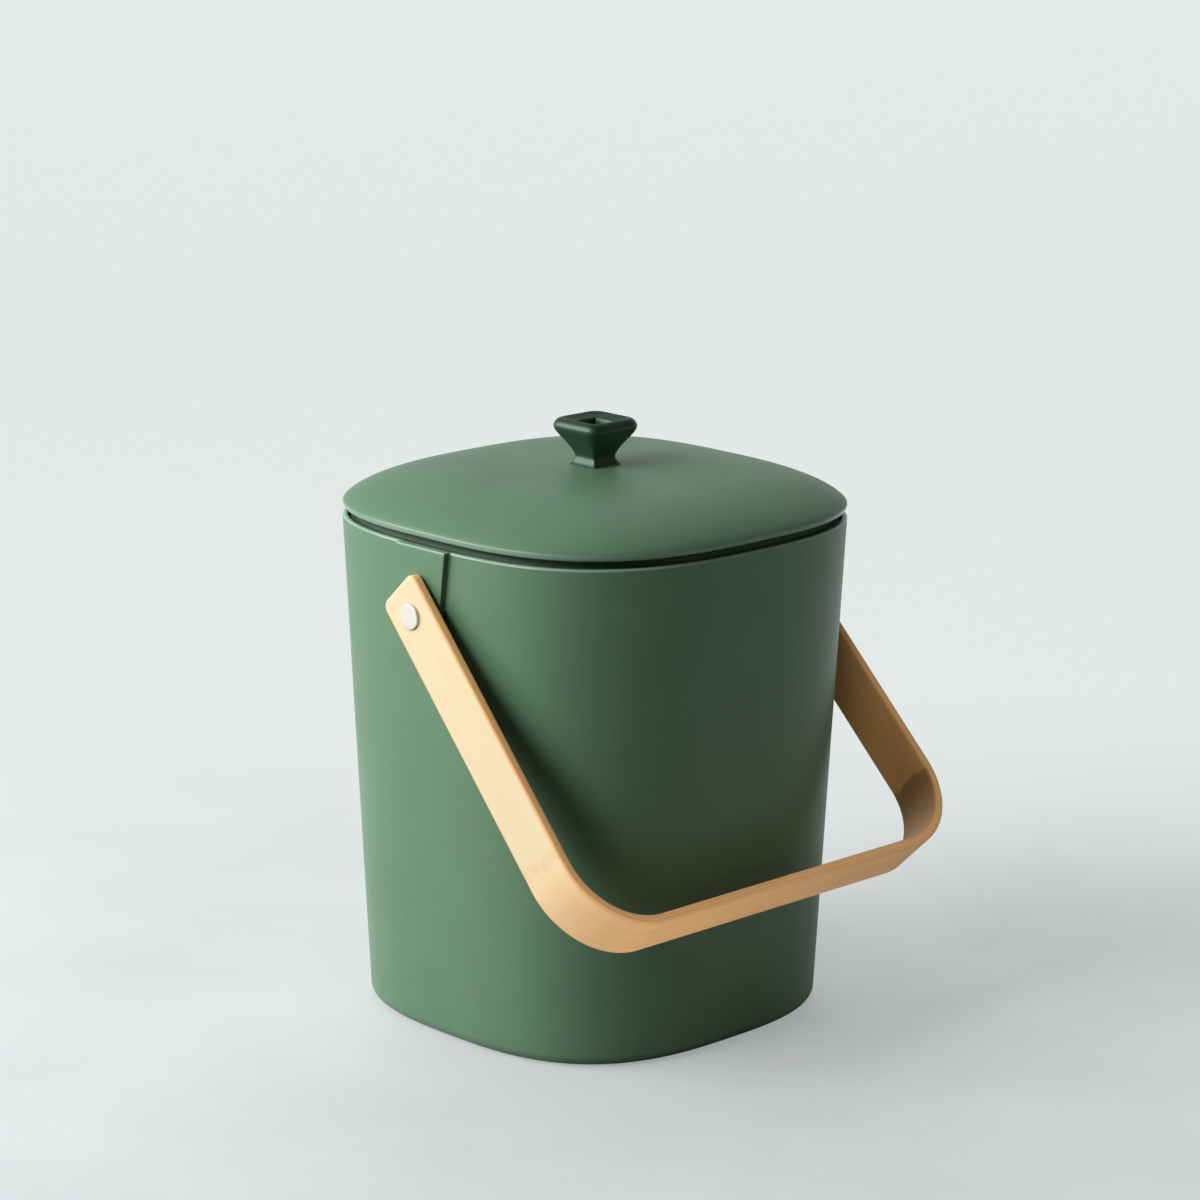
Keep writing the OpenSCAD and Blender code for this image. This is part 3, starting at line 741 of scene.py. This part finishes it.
def handle_strap():
    path, length = strap_path()
    rings, marks = [], []
    for s, x, z, angle in path:
        q = min(s, length - s)
        inset = strap_inset(q, STRAP_EDGE_R)
        width_cut = strap_inset(q, STRAP_END_R)
        section = strap_section(inset, max(width_cut - inset, 0))
        rings.append([(x + d * math.cos(angle), w, z + d * math.sin(angle)) for d, w in section])
        marks.append([(s, w, d) for d, w in section])
    verts, faces = loft(rings)
    marks = [m for ring in marks for m in ring] + [(0, 0, 0), (length, 0, 0)]
    tilt = Matrix.Translation((0, 0, PIVOT_Z * MM)) @ Matrix.Rotation(-rest_tilt(), 4, "X")
    mesh_verts = [tuple(tilt @ (Vector(v) * MM) / MM) for v in verts]
    obj = make_object("bent_wood_strap", mesh_verts, faces, WOOD, 60)
    flat = obj.data.uv_layers.new(name="length_width")
    deep = obj.data.uv_layers.new(name="depth")
    for loop in obj.data.loops:
        s, w, d = marks[loop.vertex_index]
        flat.data[loop.index].uv = (s * MM, w * MM)
        deep.data[loop.index].uv = (d * MM, 0)
    turn = np.linspace(0, 2 * np.pi, 64, endpoint=False)
    r = POST_R + POST_FIT
    circle = [r * np.cos(turn), PIVOT_Z + r * np.sin(turn)]
    past_arms = PIVOT_HALF + 16
    rings = [np.column_stack([np.full(64, x)] + circle) for x in (-past_arms, past_arms)]
    bore_verts, bore_faces = loft(rings)
    cut(obj, make_object("bore", bore_verts, bore_faces, WOOD))
    obj.data.shade_smooth()
    obj.data.set_sharp_from_angle(angle=math.radians(40))
    return dress(obj, "handle", "bent_wood", "handle_strap")


# ---------- lid ----------

def dome_z(s):
    return LID_WIDE_Z + DOME_RISE * max(1 - s ** DOME_FLAT, 0) ** (1 / DOME_SHOULDER)


def lid_shell():
    """The dome with its rounded lip and the skirt under it, and a vent slot in each side."""
    slot_low = LID_EDGE_Z - SLOT_H
    top_z = LID_WIDE_Z + DOME_RISE
    profile = [(SCREW_HOLE_R, top_z - LID_T, 1.0), (5.0, top_z - LID_T, 0.9)]
    inner = []
    for s in np.linspace(0.1, STOP_HALF / LID_HALF, 26):
        inner.append((s * LID_HALF, dome_z(s) - LID_T, max(0.0, 0.9 - 3 * s)))
    profile += inner
    ceiling = dome_z(STOP_HALF / LID_HALF) - LID_T
    levels = [ceiling - 1.0, LID_EDGE_Z + 1.2, LID_EDGE_Z, STOP_Z + 0.3, STOP_Z]
    profile += [(STOP_HALF, z, 0.0) for z in levels]
    inner_slot = len(profile) - 3
    profile += [(SKIRT_IN - 0.2, STOP_Z, 0.0), (SKIRT_IN, STOP_Z - 0.2, 0.0), (SKIRT_IN, 205.0, 0.0)]
    edge = 0.6
    low_edge = arc(SKIRT_IN + edge, LEDGE_Z + edge, edge, 180, 270, 4)
    low_edge += arc(SKIRT_OUT - edge, LEDGE_Z + edge, edge, 270, 360, 4)[1:]
    profile += [(half, z, 0.0) for half, z in low_edge]
    profile += [(SKIRT_OUT, 205.0, 0.0), (SKIRT_OUT, GROOVE_Z - 0.3, 0.0), (SKIRT_OUT - 0.3, GROOVE_Z, 0.0)]
    profile += [(GROOVE_HALF + 0.4, GROOVE_Z + 0.2, 0.0), (GROOVE_HALF, GROOVE_Z + 0.7, 0.0)]
    profile += [(GROOVE_HALF, slot_low, 0.0), (GROOVE_HALF, LID_EDGE_Z, 0.0)]
    outer_slot = len(profile) - 2
    profile += [(GROOVE_HALF + 0.2, LID_EDGE_Z, 0.0), (LID_HALF - LIP_IN - 0.3, LID_EDGE_Z, 0.0)]
    for t in np.radians(np.linspace(0, 90, 13)):
        z = LID_WIDE_Z - (LID_WIDE_Z - LID_EDGE_Z) * math.cos(t)
        profile.append((LID_HALF - LIP_IN * (1 - math.sin(t)), z, 0.0))
    for turn in np.linspace(90, 7, 46)[1:]:
        s = math.sin(math.radians(turn))
        profile.append((s * LID_HALF, dome_z(s), max(0.0, 0.9 - 3 * s)))
    profile += [(5.0, top_z, 0.9), (SCREW_HOLE_R, top_z, 1.0)]
    rings = [plan_ring(half, z, roundness) for half, z, roundness in profile]
    verts, faces = loft(rings, first_cap=False, last_cap=False)
    n = PLAN_POINTS
    last = (len(rings) - 1) * n
    faces += [(last + j, last + (j + 1) % n, (j + 1) % n, j) for j in range(n)]
    step = np.linalg.norm(rings[outer_slot][1] - rings[outer_slot][0])
    reach = round(SLOT_LEN / 2 / step)
    low_out, low_in = outer_slot * n, (inner_slot + 1) * n
    high_out, high_in = (outer_slot + 1) * n, inner_slot * n
    opened = set()
    for side in range(4):
        middle = side * n // 4
        columns = [(middle + k) % n for k in range(-reach, reach)]
        opened.update((low_out + j, high_out + j) for j in columns)
        opened.update((high_in + j, low_in + j) for j in columns)
        for j in columns:
            k = (j + 1) % n
            faces.append((low_out + j, low_out + k, low_in + k, low_in + j))
            faces.append((high_out + j, high_in + j, high_in + k, high_out + k))
        for j in ((middle - reach) % n, (middle + reach) % n):
            faces.append((low_out + j, low_in + j, high_in + j, high_out + j))
    faces = [f for f in faces if not ((f[0], f[3]) in opened and len(f) == 4 and f[1] - f[0] in (1, 1 - n))]
    obj = make_object("lid_dome", verts, faces, GREEN, 40)
    return dress(obj, "lid", "green_lid", "lid_shell")


def soft_square(half, r, corner_steps=8, side_steps=6):
    """A square ring of half width half with corners of radius r."""
    points = []
    for quarter, (sx, sy) in enumerate(((1, 1), (-1, 1), (-1, -1), (1, -1))):
        for t in np.radians(np.linspace(90 * quarter, 90 * quarter + 90, corner_steps + 1)):
            points.append((sx * (half - r) + r * math.cos(t), sy * (half - r) + r * math.sin(t)))
        flat = half - r
        for p in np.linspace(1, -1, side_steps + 1)[1:-1]:
            if quarter % 2 == 0:
                points.append((flat * p * sx, sy * half))
            else:
                points.append((sx * half, flat * p * sy))
    return points


def smooth_through(stations, steps):
    """A Catmull-Rom curve through stations of any width."""
    p = np.array(stations, float)
    p = np.vstack([2 * p[0] - p[1], p, 2 * p[-1] - p[-2]])
    out = []
    for i in range(1, len(p) - 2):
        for t in np.linspace(0, 1, steps, endpoint=False):
            a, b, c, d = p[i - 1], p[i], p[i + 1], p[i + 2]
            square = (2 * a - 5 * b + 4 * c - d) * t ** 2
            cube = (3 * b - a - 3 * c + d) * t ** 3
            out.append(0.5 * (2 * b + (c - a) * t + square + cube))
    out.append(p[-2])
    return out


def lid_knob():
    """A square knob: a flared foot, a narrow neck, and a fat rolled rim round a dish."""
    grow = KNOB_HALF - NECK_HALF
    flare = KNOB_FOOT_HALF - NECK_HALF
    outside = [
        (0.0, KNOB_FOOT_HALF, 0.5),
        (0.03, NECK_HALF + flare * 0.66, 0.7),
        (0.07, NECK_HALF + flare * 0.36, 0.9),
        (0.12, NECK_HALF + flare * 0.13, 1.1),
        (0.19, NECK_HALF, 1.3),
        (0.29, NECK_HALF + grow * 0.1, 1.6),
        (0.43, NECK_HALF + grow * 0.32, 2.4),
        (0.61, NECK_HALF + grow * 0.68, 3.8),
        (0.74, NECK_HALF + grow * 0.91, 4.8),
        (0.84, KNOB_HALF, 5.4),
        (0.93, KNOB_HALF - 0.6, 5.2),
        (0.985, KNOB_HALF - 1.7, 4.6),
        (1.0, KNOB_HALF - 2.8, 4.2),
        (0.985, KNOB_HALF - 3.9, 3.5),
        (0.96, KNOB_HALF - 5.2, 2.6),
        (0.94, HOLLOW_HALF + 1.6, 1.8),
    ]
    rows = [tuple(row) for row in smooth_through(outside, 5)]
    rows += [(0.93, HOLLOW_HALF + 0.55, 1.0), (0.92, HOLLOW_HALF + 0.15, 0.8), (0.9, HOLLOW_HALF, 0.7)]
    low = 1 - HOLLOW_D / KNOB_H
    for share in np.linspace(0, 1, 6)[1:]:
        rows.append((0.9 + (low - 0.9) * share, HOLLOW_HALF * (1 - 0.28 * share), 0.6))
    rows.append((low, HOLLOW_HALF * 0.4, 0.3))
    rings = []
    for share, half, r in rows:
        ring = soft_square(half, r)
        rings.append([(x, y, KNOB_Z + share * KNOB_H) for x, y in ring])
    verts, faces = loft(rings)
    obj = make_object("lid_knob_body", verts, faces, KNOB_GREEN, 45)
    return dress(obj, "lid", "green_knob", "lid_knob")


# ---------- filter ----------

def filter_mat():
    """The charcoal felt: soft edges and a slightly uneven face."""
    rng = np.random.default_rng(7)
    edge = 1.2
    top = FILTER_Z + FILTER_T
    profile = [(FILTER_HALF * s, FILTER_Z) for s in np.linspace(0.03, 0.975, 24)]
    profile += arc(FILTER_HALF - edge, FILTER_Z + edge, edge, 270, 360, 4)
    profile += arc(FILTER_HALF - edge, top - edge, edge, 0, 90, 4)
    profile += [(FILTER_HALF * s, top) for s in np.linspace(0.975, 0.03, 24)]
    rings = []
    for half, z in profile:
        ring = plan_ring(half, z)
        sag = rng.uniform(0, 0.25, len(ring))
        inwards = 1 if z < FILTER_Z + FILTER_T / 2 else -1
        ring[:, 2] += inwards * sag
        rings.append(ring)
    verts, faces = loft(rings)
    obj = make_object("charcoal_mat", verts, faces, FELT, 60)
    return dress(obj, "filter", "charcoal_felt", "charcoal_filter")


bin_shell()
STRAP = handle_strap()
for side, word in ((-1, "left"), (1, "right")):
    pivot_pad(f"{word}_pivot_pad", side)
    inner_boss(f"{word}_inner_boss", side)
    pivot_post(f"{word}_post_head", side, f"{word}_pivot_post")
lid_shell()
lid_knob()
filter_mat()

KEPT = {
    "left_spacer": NYLON,
    "right_spacer": NYLON,
    "left_inner_washer": INNER_STEEL,
    "right_inner_washer": INNER_STEEL,
    "left_post_screw": INNER_STEEL,
    "right_post_screw": INNER_STEEL,
    "knob_insert": BRASS,
    "knob_screw": INNER_STEEL,
    "knob_washer": INNER_STEEL,
    "filter_cover": GREEN,
}
for node_name, material in KEPT.items():
    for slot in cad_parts[node_name].material_slots:
        slot.material = material


# ---------- stage ----------

BACK_FILL = rgb(0.80, 0.84, 0.84)
FRONT_DARK = rgb(0.012, 0.012, 0.012)
FRONT_MIRRORED = rgb(0.05, 0.052, 0.053)

# The camera: millimetres of lens and sensor, degrees, and metres.
CAMERA_LENS = 120.37
CAMERA_SENSOR = 36.0
CAMERA_AZIMUTH = 226.05
CAMERA_ELEVATION = 13.958
CAMERA_ROLL = 0.3454
CAMERA_PLACE = Vector((-1.12158, -1.16684, 0.57360))


def make_floor():
    mesh = bpy.data.meshes.new("studio_floor")
    size = 8.0
    corners = [(-size, -size, 0), (size, -size, 0), (size, size, 0), (-size, size, 0)]
    mesh.from_pydata(corners, [], [(0, 1, 2, 3)])
    mesh.materials.append(floor_material())
    floor = bpy.data.objects.new("studio_floor", mesh)
    bpy.context.scene.collection.objects.link(floor)


def make_world():
    """Dim in front and pale behind, as in a studio; the camera sees the pale backdrop everywhere."""
    world = bpy.data.worlds.new("studio")
    world.use_nodes = True
    bpy.context.scene.world = world
    w = Nodes.of_tree(world.node_tree)
    split = w.add("SeparateXYZ", {"Vector": w.add("TexCoord").outputs["Generated"]})
    path = w.add("LightPath").outputs
    fill = w.mix(w.remap(split.outputs["Y"], -0.1, 0.35), FRONT_DARK, BACK_FILL)
    back_x = w.math("MULTIPLY", split.outputs["X"], BACK_X)
    back = w.math("ADD", back_x, w.math("MULTIPLY", split.outputs["Y"], BACK_Y))
    mirrored = w.mix(w.remap(back, -0.1, 0.6), FRONT_MIRRORED, BACKDROP)
    dimmer = w.remap(split.outputs["Z"], 0.0, 0.6, 0.85, 0.4)
    mirrored = w.mix(dimmer, rgb(0, 0, 0), mirrored)
    lit = w.mix(path["Is Glossy Ray"], fill, mirrored)
    seen = w.math("MAXIMUM", path["Is Camera Ray"], path["Is Transmission Ray"])
    w.tree.links.new(w.mix(seen, lit, BACKDROP), w.tree.nodes["Background"].inputs["Color"])


def far_light(name, azimuth, elevation, level, spread_deg):
    """A wide soft light far away. At level 1 a white surface that faces it renders as white."""
    light = bpy.data.lights.new(name, "SUN")
    light.energy = level * math.pi
    light.angle = math.radians(spread_deg)
    return add_light(light, towards(azimuth, elevation))


def softbox(name, azimuth, elevation, distance, size, level):
    """A round softbox aimed at the caddy; its level is meant at the caddy's middle."""
    light = bpy.data.lights.new(name, "AREA")
    light.shape = "DISK"
    light.size = size
    light.energy = level * math.pi ** 2 * distance ** 2
    return add_light(light, towards(azimuth, elevation) * distance)


def towards(azimuth, elevation):
    """The direction to a lamp: azimuth in degrees from +X towards +Y, elevation above the floor."""
    turn = math.radians(azimuth)
    lift = math.radians(elevation)
    return Vector((math.cos(turn) * math.cos(lift), math.sin(turn) * math.cos(lift), math.sin(lift)))


def add_light(light, offset):
    obj = bpy.data.objects.new(light.name, light)
    obj.rotation_mode = "QUATERNION"
    obj.rotation_quaternion = (-offset).to_track_quat("-Z", "Y")
    obj.location = offset + Vector((0, 0, BIN_H * MM / 2))
    bpy.context.scene.collection.objects.link(obj)
    return obj


def group(name, pieces):
    """A collection for light linking; it isn't in the scene itself."""
    collection = bpy.data.collections.new(name)
    for piece in pieces:
        collection.objects.link(piece)
    return collection


def from_table(lamp, lit):
    """Lets a lamp below the floor stand for light off the table: only the caddy's pieces block it."""
    lamp.light_linking.blocker_collection = group(lamp.name + "_blocked", PIECES)
    return lit_only(lamp, lit)


def lit_only(lamp, pieces):
    """Keeps a lamp to some pieces."""
    lamp.light_linking.receiver_collection = group(lamp.name + "_lit", pieces)
    return lamp


def matt(lamp):
    """A fill that leaves no shine of its own."""
    lamp.visible_glossy = False
    return lamp


def make_camera():
    """A long lens, tilted down at the caddy from its front left, and rolled a little."""
    data = bpy.data.cameras.new("photo_camera")
    data.lens = CAMERA_LENS
    data.sensor_width = CAMERA_SENSOR
    data.clip_start = 0.05
    data.clip_end = 50.0
    camera = bpy.data.objects.new("photo_camera", data)
    upright = (-towards(CAMERA_AZIMUTH, CAMERA_ELEVATION)).to_track_quat("-Z", "Y")
    turned = upright @ Quaternion((0, 0, 1), math.radians(CAMERA_ROLL))
    camera.matrix_world = Matrix.LocRotScale(CAMERA_PLACE, turned, None)
    bpy.context.scene.collection.objects.link(camera)
    bpy.context.scene.camera = camera


make_floor()
make_world()
far_light("key_light", azimuth=166, elevation=30, level=0.62, spread_deg=30)
softbox("key_softbox", azimuth=138, elevation=24, distance=0.86, size=0.55, level=0.70)
side_light = far_light("side_light", azimuth=310, elevation=8, level=0.17, spread_deg=30)
matt(lit_only(side_light, [piece for piece in PIECES if piece != STRAP]))
matt(far_light("back_light", azimuth=60, elevation=40, level=0.27, spread_deg=60))
handle_light = far_light("handle_light", azimuth=258, elevation=-24, level=0.22, spread_deg=40)
grip_light = softbox("grip_light", azimuth=245, elevation=-30, distance=0.30, size=0.12, level=0.225)
edge_light = far_light("edge_light", azimuth=215, elevation=50, level=0.41, spread_deg=20)
matt(from_table(handle_light, [STRAP]))
matt(from_table(grip_light, [STRAP]))
matt(lit_only(edge_light, [STRAP]))
make_camera()

bpy.context.scene.view_settings.view_transform = "Standard"
